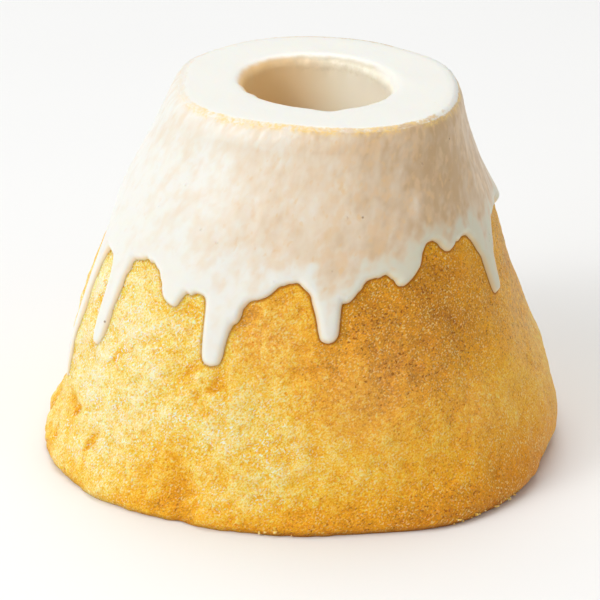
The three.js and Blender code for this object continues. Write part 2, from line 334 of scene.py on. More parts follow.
def ease(value, low, high):
    """Share of the way from low to high, clamped and eased at both ends: 3t^2 - 2t^3."""
    t = np.clip((value - low) / (high - low), 0, 1)
    return t * t * (3 - 2 * t)


def between(a, b, share):
    """The straight blend from a (share 0) to b (share 1)."""
    return a + (b - a) * share


def turn(angle, at):
    """An angle's difference from one given in degrees, within half a turn either way."""
    difference = angle - np.radians(at)
    return difference - TAU * np.round(difference / TAU)


def hump(angle, at, width, radius):
    """A bell curve round an angle: exp(-(arc / width)^2), with the arc taken on a circle."""
    return np.exp(-((turn(angle, at) * radius / width) ** 2))


def patches(zones, angle, reach):
    """A sum of bell curves on the flank: amount * bell across * bell along for each zone."""
    total = np.zeros(np.broadcast(angle, reach).shape)
    for at, middle, across, along, amount in zones:
        bell = np.exp(-(((reach - middle) / along) ** 2))
        total += amount * hump(angle, at, across, FOOT_RADIUS) * bell
    return total


def waves(sizes, angle):
    """A sum of cosines round the cake: depth * cos(crests * (angle - crest))."""
    return sum(depth * np.cos(crests * turn(angle, at)) for crests, depth, at in sizes)


def flank_table(steps=200):
    """The flank's section as columns of reach, radius, height and outward direction: a cubic through
    FLANK_POINTS whose slope at each point is half the step between its neighbours, measured along."""
    point = np.array(FLANK_POINTS)
    padded = np.vstack([point[:1], point, point[-1:]])
    slope = (padded[2:] - padded[:-2]) / 2
    t = np.linspace(0, 1, steps, endpoint=False)[None, :, None]
    start, end = point[:-1, None], point[1:, None]
    start_slope, end_slope = slope[:-1, None], slope[1:, None]
    curve = (
        (2 * t**3 - 3 * t**2 + 1) * start
        + (t**3 - 2 * t**2 + t) * start_slope
        + (3 * t**2 - 2 * t**3) * end
        + (t**3 - t**2) * end_slope
    )
    curve = np.vstack([curve.reshape(-1, 2), point[-1:]])
    reach = np.concatenate([[0], np.cumsum(np.linalg.norm(np.diff(curve, axis=0), axis=1))])
    direction = np.gradient(curve, reach, axis=0)
    direction /= np.linalg.norm(direction, axis=1, keepdims=True)
    return reach, curve[:, 0], curve[:, 1], -direction[:, 1], direction[:, 0]


FLANK = flank_table()
FLANK_LENGTH = FLANK[0][-1]
DRIP_RADIUS = float(np.interp(DRIPS_BEGIN * FLANK_LENGTH, FLANK[0], FLANK[1]))


def flank_section(reach):
    """Radius, height and outward direction of the flank at each reach, read from its table."""
    return [np.interp(reach, FLANK[0], column) for column in FLANK[1:]]


def skin_relief(angle, reach):
    """Low swellings and single forms of the skin: slanting cosines whose phases step by the golden
    angle, faded in below the icing, plus a bell curve for each form."""
    relief = np.zeros(np.broadcast(angle, reach).shape)
    for n in range(SWELL["count"]):
        slant = (1 if n % 2 else -1) * SWELL["climb"] * (n + 1) * reach
        relief += np.cos((SWELL["fewest"] + 2 * n) * angle + slant + n * GOLDEN_ANGLE)
    relief *= SWELL["depth"] / SWELL["count"] * ease(reach, SWELL["from"], SWELL["full"])
    return relief + patches(SKIN_FORMS, angle, reach)


def place(angle, radius, height, relief=0.0):
    """Points of the section turned to an angle: middle + (r sin, -r cos), where the waves and the
    middle pass over from the hole's to the flank's across the top and the resting face."""
    share = np.clip((radius - HOLE_RADIUS) / (TOP_RADIUS - HOLE_RADIUS), 0, 1)
    flank_middle = AXIS_SHIFT + LEAN * (height / CAKE_HEIGHT) ** 4
    notch = HOLE_NOTCH["depth"] * hump(angle, HOLE_NOTCH["at"], HOLE_NOTCH["width"], HOLE_RADIUS)
    r = radius + between(waves(HOLE_WAVES, angle) + notch, waves(BODY_WAVES, angle), share) + relief
    middle = between(HOLE_SHIFT, flank_middle, share)
    x = middle + r * np.sin(angle)
    y = -r * np.cos(angle)
    return np.stack(np.broadcast_arrays(x, y, height), axis=-1)


def flank_points(angle, reach, lift=0.0):
    """Points over the flank: the section's point plus lift times its outward direction, turned."""
    radius, height, out_radius, out_height = flank_section(reach)
    return place(angle, radius + lift * out_radius, height + lift * out_height, skin_relief(angle, reach))


def hole_edge_points(angle, share, lift=0.0):
    """Points over the hole's rounded upper edge: a quarter circle from its wall (0) to the top (1)."""
    bend = share * math.pi / 2
    radius = HOLE_RADIUS + HOLE_EDGE - (HOLE_EDGE + lift) * np.cos(bend)
    return place(angle, radius, CAKE_HEIGHT - HOLE_EDGE + (HOLE_EDGE + lift) * np.sin(bend))


def lattice_noise(points, size, seed):
    """Smooth random values from -1 to 1: one at each corner of a grid of cubes of that size, blended
    over the eight corners round each point with 6t^5 - 15t^4 + 10t^3."""
    table = np.random.default_rng(seed).uniform(-1, 1, (LATTICE, LATTICE, LATTICE))
    cell = points / size
    corner = np.floor(cell).astype(int)
    t = cell - corner
    t = t**3 * (t * (6 * t - 15) + 10)
    total = np.zeros(points.shape[:-1])
    for step in np.ndindex(2, 2, 2):
        value = table[tuple(((corner + step) % LATTICE)[..., k] for k in range(3))]
        total += value * np.prod(np.where(step, t, 1 - t), axis=-1)
    return total


# The drip line

VALLEY_AT = np.radians(DRIPS[:, 0]) + (np.radians(np.roll(DRIPS[:, 0], -1) - DRIPS[:, 0]) % TAU) / 2
VALLEY_ORDER = np.argsort(VALLEY_AT % TAU)
VALLEY_AT = (VALLEY_AT % TAU)[VALLEY_ORDER]
VALLEY_REACH = DRIPS[VALLEY_ORDER, 6]


def valley_reach(angle):
    """The reach of the valleys, which stand half way between the drips, eased from each to the next."""
    i = (np.searchsorted(VALLEY_AT, angle % TAU, side="right") - 1) % len(VALLEY_AT)
    following = (i + 1) % len(VALLEY_AT)
    past = (angle - VALLEY_AT[i]) % TAU
    span = (VALLEY_AT[following] - VALLEY_AT[i]) % TAU
    return between(VALLEY_REACH[i], VALLEY_REACH[following], ease(past, 0, span))


def drip_share(angle):
    """Each drip's share at an angle: 1 / (1 + |arc / half width on that side|^bluntness), less a round
    cap at the tip; the arc wavers a little, so that the drips' sides are uneven."""
    waver = sum(depth * np.sin(crests * angle + start) for depth, crests, start in SIDE_WAVERS)
    arc = turn(np.asarray(angle)[..., None], DRIPS[:, 0]) * DRIP_RADIUS + np.asarray(waver)[..., None]
    across = np.abs(arc / np.where(arc < 0, DRIPS[:, 2], DRIPS[:, 3]))
    rounding = 1 - np.sqrt(1 - np.minimum(across / DRIP_CAP["width"], 1) ** 2)
    return (1 - DRIP_ROUNDING * rounding) / (1 + across ** DRIPS[:, 4])


DRIP_LENGTH = DRIPS[:, 1] - valley_reach(np.radians(DRIPS[:, 0]))
DRIP_ROUNDING = DRIP_CAP["height"] * (DRIPS[:, 2] + DRIPS[:, 3]) / 2 / DRIP_LENGTH
DRIP_ROUNDING = np.minimum(DRIP_ROUNDING, DRIP_CAP["most"])


def drip_line(angle):
    """How far down the icing reaches: the valleys, the longest drip there (a smooth maximum, the fourth
    root of the sum of fourth powers), and a small waver that fades out on the drips."""
    share = drip_share(angle)
    longest = np.sum((share * DRIP_LENGTH) ** 4, axis=-1) ** 0.25
    waver = sum(depth * np.cos(crests * angle + start) for depth, crests, start in LINE_WAVERS)
    return valley_reach(angle) + longest + waver * np.prod(1 - share, axis=-1)


def drip_swelling(angle, reach):
    """How much thicker the icing is on the drips: a bell curve across each, eased in down to its tip."""
    arc = turn(np.asarray(angle)[..., None], DRIPS[:, 0]) * DRIP_RADIUS
    bell = np.exp(-((arc / (DRIP_SWELL * (DRIPS[:, 2] + DRIPS[:, 3]))) ** 2))
    down = ease(reach[..., None], DRIPS[:, 1] - DRIP_LENGTH - BEAD_HEIGHT, DRIPS[:, 1])
    return (bell * down) @ (DRIPS[:, 5] - ICING_EDGE)


def inside_icing(angle, reach):
    """Distance to the drip line on the unrolled flank, positive under the icing: the least distance
    to the straight steps of the line near that angle. A step is start + t * way, with t clamped."""
    step = TAU / LINE_STEPS
    line = drip_line(np.arange(LINE_STEPS) * step)
    way_along = np.roll(line, -1) - line
    radius = flank_section(reach)[0]
    way_across = step * radius
    first = np.floor(angle / step).astype(int)
    least = np.full(np.broadcast(angle, reach).shape, np.inf)
    for offset in range(-LINE_WINDOW, LINE_WINDOW + 1):
        near = (first + offset) % LINE_STEPS
        across = (angle - (first + offset) * step) * radius
        along = reach - line[near]
        t = (across * way_across + along * way_along[near]) / (way_across**2 + way_along[near] ** 2)
        t = np.clip(t, 0, 1)
        least = np.minimum(least, (across - t * way_across) ** 2 + (along - t * way_along[near]) ** 2)
    return np.sign(drip_line(angle) - reach) * np.sqrt(least)


# Meshes

def solid(name, points, faces):
    """An object whose mesh has these points, in millimetres, and these faces of three or four sides."""
    mesh = bpy.data.meshes.new(name)
    sides = faces.shape[1]
    mesh.vertices.add(len(points))
    mesh.vertices.foreach_set("co", (points * MM).astype(np.float32).ravel())
    mesh.loops.add(faces.size)
    mesh.loops.foreach_set("vertex_index", faces.astype(np.int32).ravel())
    mesh.polygons.add(len(faces))
    mesh.polygons.foreach_set("loop_start", np.arange(0, faces.size, sides, dtype=np.int32))
    mesh.polygons.foreach_set("use_smooth", np.ones(len(faces), dtype=bool))
    mesh.update(calc_edges=True)
    mesh.validate()
    piece = bpy.data.objects.new(name, mesh)
    bpy.context.collection.objects.link(piece)
    return piece


def ring_mesh(name, points):
    """A ring closed both ways from a grid of points: each face joins column i and i + 1, row j and
    j + 1, counted round."""
    columns, rows = points.shape[:2]
    index = np.arange(columns * rows).reshape(columns, rows)
    right = np.roll(index, -1, axis=0)
    faces = np.stack([index, right, np.roll(right, -1, axis=1), np.roll(index, -1, axis=1)], axis=-1)
    return solid(name, points.reshape(-1, 3), faces.reshape(-1, 4))


def mark(piece, name, values):
    """Stores one number a point on a piece, for its material to read."""
    attribute = piece.data.attributes.new(name, "FLOAT", "POINT")
    attribute.data.foreach_set("value", values.astype(np.float32).ravel())


def mark_vector(piece, name, values):
    """Stores one vector a point on a piece, for its material to read."""
    attribute = piece.data.attributes.new(name, "FLOAT_VECTOR", "POINT")
    attribute.data.foreach_set("vector", values.astype(np.float32).ravel())


def joined(columns, stretches):
    """A mark's values over all rows: each stretch is a value (a number or an array) and its rows."""
    return np.concatenate([np.broadcast_to(value, (columns, rows)) for value, rows in stretches], axis=1)


# The cake

def lumps(sizes, points, seed):
    """A sum of noises, each given as its size and height, with seeds that count up."""
    return sum(height * lattice_noise(points, size, seed + k) for k, (size, height) in enumerate(sizes))


def crumb_relief(angle, reach, points):
    """Fine relief of the baked skin, how raised each point is from -1 to 1 and how folded from 0 to 1:
    lumps of several sizes, folds where a noise drawn out along a slanting line is low, round dents
    spread by the golden angle, and a few deeper ones."""
    slow = lumps(SLOW_LUMPS, points, SEED["slow_lumps"])
    quick = lumps(QUICK_LUMPS, points, SEED["quick_lumps"])
    lumpy = 1 + LUMPIEST["more"] * np.cos(turn(angle, LUMPIEST["at"]))
    across, up = math.cos(FOLDS["slant"]), math.sin(FOLDS["slant"])
    along_fold = points[..., 0] * across + points[..., 2] * up
    over_fold = points[..., 2] * across - points[..., 0] * up
    slanting = np.stack([along_fold * FOLDS["drawn"], points[..., 1], over_fold], axis=-1)
    fold_noise = lattice_noise(slanting, FOLDS["size"], SEED["folds"])
    patch_noise = lattice_noise(points, FOLD_PATCHES["size"], SEED["fold_patches"])
    folded = ease(fold_noise, FOLD_NOISE["none"], FOLD_NOISE["full"])
    folded *= ease(patch_noise, -FOLD_PATCHES["edge"], FOLD_PATCHES["edge"])
    folded *= ease(np.cos(turn(angle, LUMPIEST["at"])), FOLD_SIDE["none"], FOLD_SIDE["full"])
    dents = np.zeros(points.shape[:-1])
    for n in range(DENTS["count"]):
        size = between(DENTS["narrowest"], DENTS["widest"], (n * GOLDEN_SHARE) % 1)
        lowest = FLANK_LENGTH - DENTS["above_foot"]
        middle = between(DENTS["from"], lowest, (n + 0.5) / DENTS["count"])
        bell = hump(angle, math.degrees(n * GOLDEN_ANGLE), size, FOOT_RADIUS)
        dents += size / DENTS["widest"] * bell * np.exp(-(((reach - middle) / size) ** 2))
    sunk = FOLDS["depth"] * folded + DENTS["depth"] * dents - patches(SINGLE_DENTS, angle, reach)
    raised = np.clip((quick * lumpy - sunk) / sum(height for size, height in QUICK_LUMPS), -1, 1)
    return slow + quick * lumpy - sunk - LUMPS_SUNK, raised, folded


def make_cake():
    """The baked body as one ring: up the flank with its crumb, over the top, down the hole and out
    below in faint rings. Marks for the material: its colour zones, how raised, how near the icing."""
    angle = (np.arange(CAKE_COLUMNS) / CAKE_COLUMNS * TAU)[:, None]
    reach = np.concatenate(
        [
            np.linspace(FLANK_LENGTH, CAKE_FINE_TO, CAKE_FLANK_ROWS, endpoint=False),
            np.linspace(CAKE_FINE_TO, RIM_REACH, CAKE_COVERED_ROWS, endpoint=False),
            CAKE_RIM_ROWS,
        ]
    )[None, :]
    covered = inside_icing(angle, reach)
    base = flank_points(angle, reach)
    lift, raised, folded = crumb_relief(angle, reach, base)
    lift = lift * between(1, BY_ICING["left"], ease(covered, BY_ICING["from"], BY_ICING["to"]))
    lift *= between(BY_FOOT["left"], 1, ease(FLANK_LENGTH - reach, 0, BY_FOOT["over"]))
    lift *= 1 - patches(CALM_ZONES, angle, reach)
    flank = flank_points(angle, reach, lift)
    flank[..., 2] = np.maximum(flank[..., 2], 0)

    edge = hole_edge_points(angle, np.array([[1.0, 0.5, 0.0]]))
    wall_top = CAKE_HEIGHT - HOLE_EDGE - HOLE_WALL["below_edge"]
    wall_height = np.linspace(wall_top, HOLE_WALL["above_foot"], CAKE_WALL_ROWS)[None, :]
    wall = place(angle, np.full_like(wall_height, HOLE_RADIUS), wall_height)
    bumps = lattice_noise(wall, HOLE_WALL["bump_size"], SEED["hole_wall"])
    wall += HOLE_WALL["bump"] * bumps[..., None] * [1, 1, 0]

    inner, outer = HOLE_RADIUS + UNDERSIDE["from_hole"], FOOT_RADIUS - UNDERSIDE["from_foot"]
    below_radius = np.linspace(inner, outer, CAKE_UNDER_ROWS)[None, :]
    rings = RINGS["depth"] * (0.5 - 0.5 * np.cos(TAU * below_radius / RINGS["step"]))
    below = place(angle, below_radius, np.zeros_like(below_radius))
    below[..., 2] += rings * ease(FOOT_RADIUS - below_radius, RINGS["none"], RINGS["full"])

    shown = (flank, edge, wall, below)
    piece = ring_mesh("cake_crumb", np.concatenate(shown, axis=1))
    baked = BAKE_MIDDLE + patches(BAKE_ZONES, angle, reach) + lumps(BAKE_DRIFT, base, SEED["bake_drift"])
    # Where the dark line under the foot is painted: painted shade
    foot_shade = ease(flank[..., 2], FOOT_SHADE["from"], FOOT_SHADE["full"])
    marks = {
        "raised": (raised, 0, 0, 0),
        "folded": (folded, 0, 0, 0),
        "baked": (baked, BAKE_HOLE, BAKE_HOLE, BAKE_BELOW),
        "toasted": (patches(TOAST_ZONES, angle, reach), 0, 0, 0),
        "dust_and_sheen": (patches(DUST_AND_SHEEN_ZONES, angle, reach), 0, 0, 0),
        "foot_shade": (foot_shade, 0, 0, FOOT_SHADE_BELOW),
        "by_icing": (-covered, FAR_FROM_ICING, FAR_FROM_ICING, FAR_FROM_ICING),
        "hole_wall": (0, 1, 1, 0),
    }
    for name, values in marks.items():
        mark(piece, name, joined(CAKE_COLUMNS, [(v, part.shape[1]) for v, part in zip(values, shown)]))
    return piece


# The icing

def icing_angles():
    """Angles for the icing's columns: equal steps of arc plus a share of the drip line's fall, so that
    they crowd together where it is steep. They start at the back."""
    angle = np.linspace(math.pi, 3 * math.pi, LINE_STEPS + 1)
    length = DRIP_RADIUS * TAU / LINE_STEPS + STEEPNESS_WEIGHT * np.abs(np.diff(drip_line(angle)))
    total = np.concatenate([[0], np.cumsum(length)])
    want = np.arange(ICING_COLUMNS) / ICING_COLUMNS * total[-1]
    return np.interp(want, total, angle)


def flow_place(angle, reach):
    """Places on the unrolled flank for relief that runs down it: a cylinder of one radius."""
    x, y = DRIP_RADIUS * np.sin(angle), DRIP_RADIUS * np.cos(angle)
    return np.stack(np.broadcast_arrays(x, y, reach), axis=-1)


def cloud_place(angle, reach):
    """Places for the icing's clouds: those of flow_place, turned with the reach and drawn out down it."""
    return flow_place(angle + CLOUDS["slant"] * reach, reach / CLOUDS["length"])


def icing_flank(angle):
    """The icing's face on the flank: the coat thickens towards the drip line and on the drips, with
    faint ripples and blobs, and ends in an edge 1 - (1 - inside / width)^2 that dips into the crust."""
    line = drip_line(angle)
    reach = between(line, RIM_REACH, np.linspace(0, 1, ICING_FLANK_ROWS)[None, :] ** 2)
    inside = np.maximum(inside_icing(angle, reach), 0)
    inside[:, 0] = 0
    flow = flow_place(angle, reach)
    thick = between(ICING_EDGE, ICING_THIN, ease(inside, BEAD_FROM, BEAD_HEIGHT))
    thick += drip_swelling(angle, reach)
    ripple = sum(
        height * lattice_noise(flow * [1, 1, drawn], size, SEED["ripples"] + k)
        for k, (height, drawn, size) in enumerate(RIPPLES)
    )
    blobs = sum(
        height * hump(angle, at, size, DRIP_RADIUS) * np.exp(-(((reach - middle) / size) ** 2))
        for at, middle, size, height in BLOBS
    )
    full = ICING_GAP + thick + (ripple + blobs) * ease(inside, RIPPLES_IN["none"], RIPPLES_IN["full"])
    edge_width = EDGE_WIDTH["least"] + EDGE_WIDTH["more"] * full
    edge = 1 - (1 - np.clip(inside / edge_width, 0, 1)) ** 2
    points = flank_points(angle, reach, -ICING_SINK + (full + ICING_SINK) * edge)
    return points, reach, inside, blobs


def make_icing():
    """The icing as one closed skin: its outer face from the drip line up the flank, over the top's
    crumbly edge and down the hole, then its hidden face back, sunk into the crust."""
    angle = icing_angles()[:, None]
    line = drip_line(angle)
    flank, flank_reach, inside, blobs = icing_flank(angle)
    wall_lift, top_lift = ICING_GAP + ICING_THIN, ICING_GAP + ICING_TOP
    # Thinner, and painted in shade, round to the right
    thinned_and_shaded = ease(np.sin(turn(angle, THIN_SHADED_SIDE["turned"])), THIN_SHADED_SIDE["none"], THIN_SHADED_SIDE["full"])

    rim_reach = np.array([ICING_RIM_ROWS])
    rim_place = flow_place(angle, rim_reach)
    crumbly = lattice_noise(rim_place, RIM_CRUMBS["size"], SEED["rim_crumbs"])
    widely = lattice_noise(rim_place, RIM_CRUMBS["wide"], SEED["wide_rim_crumbs"])
    crumbly = crumbly + RIM_CRUMBS["wide_share"] * widely
    crumbly *= RIM_CRUMBS["height"] * ease(rim_reach, RIM_CRUMBS["none"], RIM_CRUMBS["full"])
    rim_lift = between(top_lift, wall_lift, rim_reach / RIM_REACH)
    rim = flank_points(angle, rim_reach, rim_lift + crumbly)

    hole_top = HOLE_RADIUS + HOLE_EDGE
    top_share = np.linspace(0, 1, ICING_TOP_ROWS, endpoint=False)[None, :]
    top_radius = between(TOP_RADIUS, hole_top, top_share)
    outward = ease(top_radius, hole_top, TOP_RADIUS) * skin_relief(angle, 0.0)
    top = place(angle, top_radius, np.full_like(top_radius, CAKE_HEIGHT + top_lift), outward)
    level = ease(np.minimum(TOP_RADIUS - top_radius, top_radius - hole_top), 0, TOP_WAVES["from_edge"])
    top_noise = lattice_noise(top * [1, 1, 0], TOP_WAVES["size"], SEED["top_waves"])
    top[..., 2] += TOP_WAVES["height"] * top_noise * level

    hole_share = np.linspace(1, 0, ICING_HOLE_ROWS)[None, :]
    hole_edge = hole_edge_points(angle, hole_share, between(wall_lift, top_lift, hole_share))
    nicked = lattice_noise(hole_edge * [1, 1, 0], HOLE_NICKS["size"], SEED["hole_nicks"])
    nicked *= HOLE_NICKS["depth"]
    nicked += sum(chip * hump(angle, at, width, HOLE_RADIUS) for at, width, chip in HOLE_CHIPS)
    nicked *= ease(hole_share, 1.0, HOLE_NICKS["full"])
    outwards = np.stack([np.sin(angle), -np.cos(angle), np.zeros_like(angle)], axis=-1)
    hole_edge += nicked[..., None] * outwards

    depth = LINING["depth"] + LINING["ripple"] * np.cos(LINING["crests"] * angle) * np.cos(2 * angle)
    wall_share = np.array([ICING_LINING_ROWS])
    wall_edge = np.sqrt(1 - np.clip((wall_share - LINING["edge"]) / (1 - LINING["edge"]), 0, 1) ** 2)
    wall_radius = HOLE_RADIUS + ICING_SINK - (wall_lift + ICING_SINK) * wall_edge
    lining = place(angle, wall_radius, CAKE_HEIGHT - HOLE_EDGE - depth * wall_share)

    hidden_radius = np.full_like(angle, HOLE_RADIUS + ICING_SINK)
    hidden = [
        place(angle, hidden_radius, CAKE_HEIGHT - HOLE_EDGE - ICING_HIDDEN_LINING * depth),
        hole_edge_points(angle, np.array([[0.0, 0.5, 1.0]]), -ICING_SINK),
        flank_points(angle, np.array([ICING_HIDDEN_RIM]), -ICING_SINK),
        flank_points(angle, between(RIM_REACH, line, np.array([ICING_HIDDEN_ROWS])), -ICING_DEEP),
    ]
    shown = [flank, rim, top, hole_edge, lining]
    piece = ring_mesh("icing_coat", np.concatenate(shown + hidden, axis=1))
    rows = [part.shape[1] for part in shown + hidden]
    lip_tone = ease(hole_share, 1.0, LINING_TONE["lip"])
    wall_tone = 1 + ease(wall_share, 0.0, LINING_TONE["wall"])
    marks = {
        "inside": (inside, line, line, line, line),
        "blobs": (blobs, 0, 0, 0, 0),
        "from_rim": (flank_reach, rim_reach, top_radius - TOP_RADIUS, *HOLE_REACH),
        "lining": (0, 0, 0, lip_tone, wall_tone),
        "to_right": (0.5 + 0.5 * np.sin(angle),) * 5,
        "to_front": (0.5 + 0.5 * np.cos(turn(angle, FRONT)),) * 5,
        "thinned_and_shaded": (thinned_and_shaded + patches(THIN_ZONES, angle, flank_reach),) + (thinned_and_shaded,) * 4,
    }
    for name, values in marks.items():
        stretches = list(values) + [0] * len(hidden)
        mark(piece, name, joined(ICING_COLUMNS, list(zip(stretches, rows))))
    clouded = np.concatenate([flank_reach, np.repeat(rim_reach, ICING_COLUMNS, axis=0)], axis=1)
    clouds = cloud_place(angle, clouded)
    rest = np.zeros((ICING_COLUMNS, sum(rows[2:]), 3))
    mark_vector(piece, "clouds", np.concatenate([clouds, rest], axis=1))
    return piece


# Loose crumbs along the foot

def make_crumbs():
    """Small lumps stuck along the foot, spread in heaps by the golden share: balls of a few sides whose
    radius is varied by noise, stretched by a sine and a cosine of their number."""
    at = np.repeat([heap[0] for heap in CRUMB_HEAPS], [heap[1] for heap in CRUMB_HEAPS])
    n = np.arange(len(at))
    angle = np.radians(at + CRUMB["spread"] * (((n * GOLDEN_SHARE) % 1) - 0.5))
    size = CRUMB["least"] + CRUMB["more"] * ((n * SIZE_SHARE) % 1) ** 2
    around = (np.arange(CRUMB_SIDES) / CRUMB_SIDES * TAU)[:, None]
    rise = (np.linspace(-0.5, 0.5, CRUMB_ROWS + 2) * math.pi)[None, 1:-1]
    round_rows = (np.cos(rise) * np.cos(around), np.cos(rise) * np.sin(around), np.sin(rise))
    ball = np.stack(np.broadcast_arrays(*round_rows), axis=-1)
    poles = np.array([[0.0, 0.0, -1.0], [0.0, 0.0, 1.0]])
    unit = np.vstack([ball.reshape(-1, 3), poles])
    above = CRUMB_HEIGHT["least"] + CRUMB_HEIGHT["more"] * ((n * HEIGHT_SHARE) % 1)
    foot = flank_points(angle, FLANK_LENGTH - above, CRUMB["out"])
    apart = unit[None] + CRUMB_NOISE["apart"] * n[:, None, None]
    uneven = lattice_noise(apart, CRUMB_NOISE["size"], SEED["loose_crumbs"])
    lumpy = 1 + CRUMB_NOISE["height"] * uneven[..., None]
    wide = CRUMB_WIDE["middle"] + CRUMB_WIDE["change"] * np.sin(CRUMB_WIDE["step"] * n)
    tall = CRUMB_TALL["middle"] + CRUMB_TALL["change"] * np.cos(CRUMB_TALL["step"] * n)
    stretch = np.stack([wide, np.ones(len(n)), tall], axis=-1)
    points = foot[:, None] + unit[None] * size[:, None, None] * lumpy * stretch[:, None]
    points[..., 2] = np.maximum(points[..., 2], CRUMB_HEIGHT["ground"])

    index = np.arange(CRUMB_SIDES * CRUMB_ROWS).reshape(CRUMB_SIDES, CRUMB_ROWS)
    right = np.roll(index, -1, axis=0)
    quads = np.stack([index[:, :-1], right[:, :-1], right[:, 1:], index[:, 1:]], axis=-1).reshape(-1, 4)
    halves = np.concatenate([quads[:, [0, 1, 2]], quads[:, [0, 2, 3]]])
    lowest = np.full(CRUMB_SIDES, index.size)
    low = np.stack([lowest, right[:, 0], index[:, 0]], axis=-1)
    high = np.stack([lowest + 1, index[:, -1], right[:, -1]], axis=-1)
    faces = np.concatenate([halves, low, high])[None] + len(unit) * n[:, None, None]
    piece = solid("foot_crumbs", points.reshape(-1, 3), faces.reshape(-1, 3))
    for name, value in (("by_icing", FAR_FROM_ICING), ("baked", BAKE_LOOSE), ("loose", 1.0)):
        mark(piece, name, np.full(points.size // 3, value))
    return piece


# Material parts

def put(tree, kind, inputs=None, **settings):
    """Adds a node with its settings, and gives each named or numbered input a value or a link."""
    node = tree.nodes.new(kind)
    for name, value in settings.items():
        setattr(node, name, value)
    for key, value in (inputs or {}).items():
        if isinstance(value, bpy.types.NodeSocket):
            tree.links.new(value, node.inputs[key])
        else:
            node.inputs[key].default_value = value
    return node


def number(tree, operation, a, b=0.0, c=0.0):
    """One step of arithmetic on values."""
    return put(tree, "ShaderNodeMath", {0: a, 1: b, 2: c}, operation=operation).outputs[0]


def times(tree, a, b):
    """The product of two values."""
    return number(tree, "MULTIPLY", a, b)


def blend(tree, *terms):
    """A weighted sum of values, each given as value and weight."""
    total = 0.0
    for value, weight in terms:
        total = number(tree, "MULTIPLY_ADD", value, weight, total)
    return total


def graded(tree, value, low, high, start=0.0, end=1.0):
    """A value eased from start to end as it goes from low to high."""
    inputs = {"Value": value, "From Min": low, "From Max": high, "To Min": start, "To Max": end}
    return put(tree, "ShaderNodeMapRange", inputs, interpolation_type="SMOOTHSTEP").outputs[0]


def tinted(tree, share, a, b):
    """The blend of two colours by a share."""
    return put(tree, "ShaderNodeMix", {0: share, 6: a, 7: b}, data_type="RGBA").outputs[2]


def ramped(tree, value, stops):
    """A colour blended straight between stops, each given as value and colour."""
    low, high = stops[0][0], stops[-1][0]
    share = number(tree, "DIVIDE", number(tree, "SUBTRACT", value, low), high - low)
    node = put(tree, "ShaderNodeValToRGB", {0: share})
    while len(node.color_ramp.elements) < len(stops):
        node.color_ramp.elements.new(1.0)
    for element, (at, colour) in zip(node.color_ramp.elements, stops):
        element.position = (at - low) / (high - low)
        element.color = colour
    return node.outputs[0]


def noise(tree, vector, scale, detail=3.0, roughness=0.55):
    """Soft noise from 0 to 1, with scale in features a millimetre."""
    inputs = {"Vector": vector, "Scale": scale, "Detail": detail, "Roughness": roughness}
    return put(tree, "ShaderNodeTexNoise", inputs).outputs[0]


def mark_value(tree, name):
    """A number stored on the piece."""
    return put(tree, "ShaderNodeAttribute", attribute_name=name).outputs["Fac"]


def millimetres(tree):
    """The place on the piece, in millimetres."""
    metres = put(tree, "ShaderNodeTexCoord").outputs["Object"]
    return put(tree, "ShaderNodeVectorMath", {0: metres, "Scale": 1000.0}, operation="SCALE").outputs[0]


def rgb(red, green, blue):
    """A colour in linear light, opaque."""
    return (red, green, blue, 1.0)


def new_group(name, numbers):
    """A shader group with a place and some numbers as inputs and one mask as output; gives the group
    and its inputs."""
    group = bpy.data.node_groups.new(name, "ShaderNodeTree")
    group.interface.new_socket("Place", in_out="INPUT", socket_type="NodeSocketVector")
    for title in numbers:
        group.interface.new_socket(title, in_out="INPUT", socket_type="NodeSocketFloat")
    group.interface.new_socket("Mask", in_out="OUTPUT", socket_type="NodeSocketFloat")
    return group, put(group, "NodeGroupInput").outputs


def dots_group():
    """Scattered round dots, one in some of the cells of a Voronoi pattern: each cell's random colour
    decides whether it has a dot and how large."""
    group, given = new_group("scattered_dots", ("Scale", "Share", "Size"))
    cells = put(group, "ShaderNodeTexVoronoi", {"Vector": given["Place"], "Scale": given["Scale"]})
    chance = put(group, "ShaderNodeSeparateColor", {0: cells.outputs["Color"]}).outputs
    chosen = number(group, "LESS_THAN", chance[0], given["Share"])
    size = times(group, given["Size"], number(group, "ADD", chance[1], 0.5))
    nearness = number(group, "SUBTRACT", 1.0, number(group, "DIVIDE", cells.outputs["Distance"], size))
    put(group, "NodeGroupOutput", {0: times(group, graded(group, nearness, 0.0, 0.6), chosen)})
    return group


def mottle_group():
    """Slow and quick noise added together, from 0 to 1 with more contrast."""
    group, given = new_group("soft_mottle", ("Slow", "Quick"))
    slow = noise(group, given["Place"], given["Slow"], 2.0)
    quick = noise(group, given["Place"], given["Quick"], 1.5)
    put(group, "NodeGroupOutput", {0: graded(group, blend(group, (slow, 0.55), (quick, 0.45)), 0.34, 0.66)})
    return group


def use(tree, group, inputs):
    """Places a group in a material and gives its output."""
    return put(tree, "ShaderNodeGroup", inputs, node_tree=group).outputs[0]


def new_material(name):
    """An empty node material and its tree."""
    material = bpy.data.materials.new(name)
    material.use_nodes = True
    material.node_tree.nodes.clear()
    return material, material.node_tree


def surface(tree, inputs):
    """The Principled shader of a material, joined to its output."""
    shader = put(tree, "ShaderNodeBsdfPrincipled", inputs)
    put(tree, "ShaderNodeOutputMaterial", {"Surface": shader.outputs[0]})


DOTS = dots_group()
MOTTLE = mottle_group()

GRAIN_DRAWN = (0.7, 0.95, 1.0)  # the crumb's grain is drawn out along its folds, and so are its painted glints and pit shade
